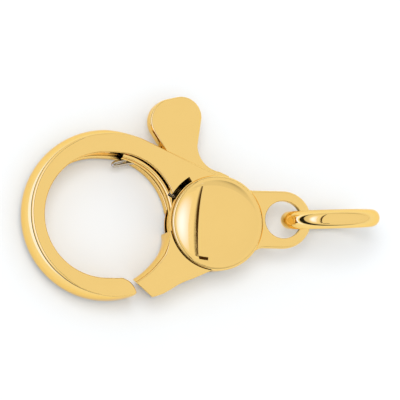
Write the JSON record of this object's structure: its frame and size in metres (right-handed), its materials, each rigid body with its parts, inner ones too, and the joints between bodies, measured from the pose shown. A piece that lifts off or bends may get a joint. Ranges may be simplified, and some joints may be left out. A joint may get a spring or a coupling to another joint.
{
  "type": "lobster clasp",
  "caption": "Polished gold lobster clasp: a round hook, a sprung lever with a thumb tab, a domed rivet and an upright jump ring.",
  "frame": {"origin": "pivot axis of the lever at the flat back face", "axes": "+X from the hook towards the jump ring, +Y towards the thumb tab, +Z out of the front face, towards the dome"},
  "size_m": [0.0249, 0.0143, 0.0069],
  "materials": {
    "yellow_gold": "polished",
    "spring_steel": "plain wire"
  },
  "bodies": {
    "clasp": {"claw_body": "yellow_gold", "dome_rivet": "yellow_gold", "spring": "spring_steel", "jump_ring": "yellow_gold"},
    "lever": {"lever": "yellow_gold"}
  },
  "joints": [
    {"name": "lever_pivot", "type": "hinge", "parent": "clasp", "child": "lever", "pos_m": [0, 0, 0], "axis": [0, 0, -1], "range_deg": [0, 22], "stiffness_Nm_per_rad": 0.01, "springref_deg": -17.19}
  ]
}
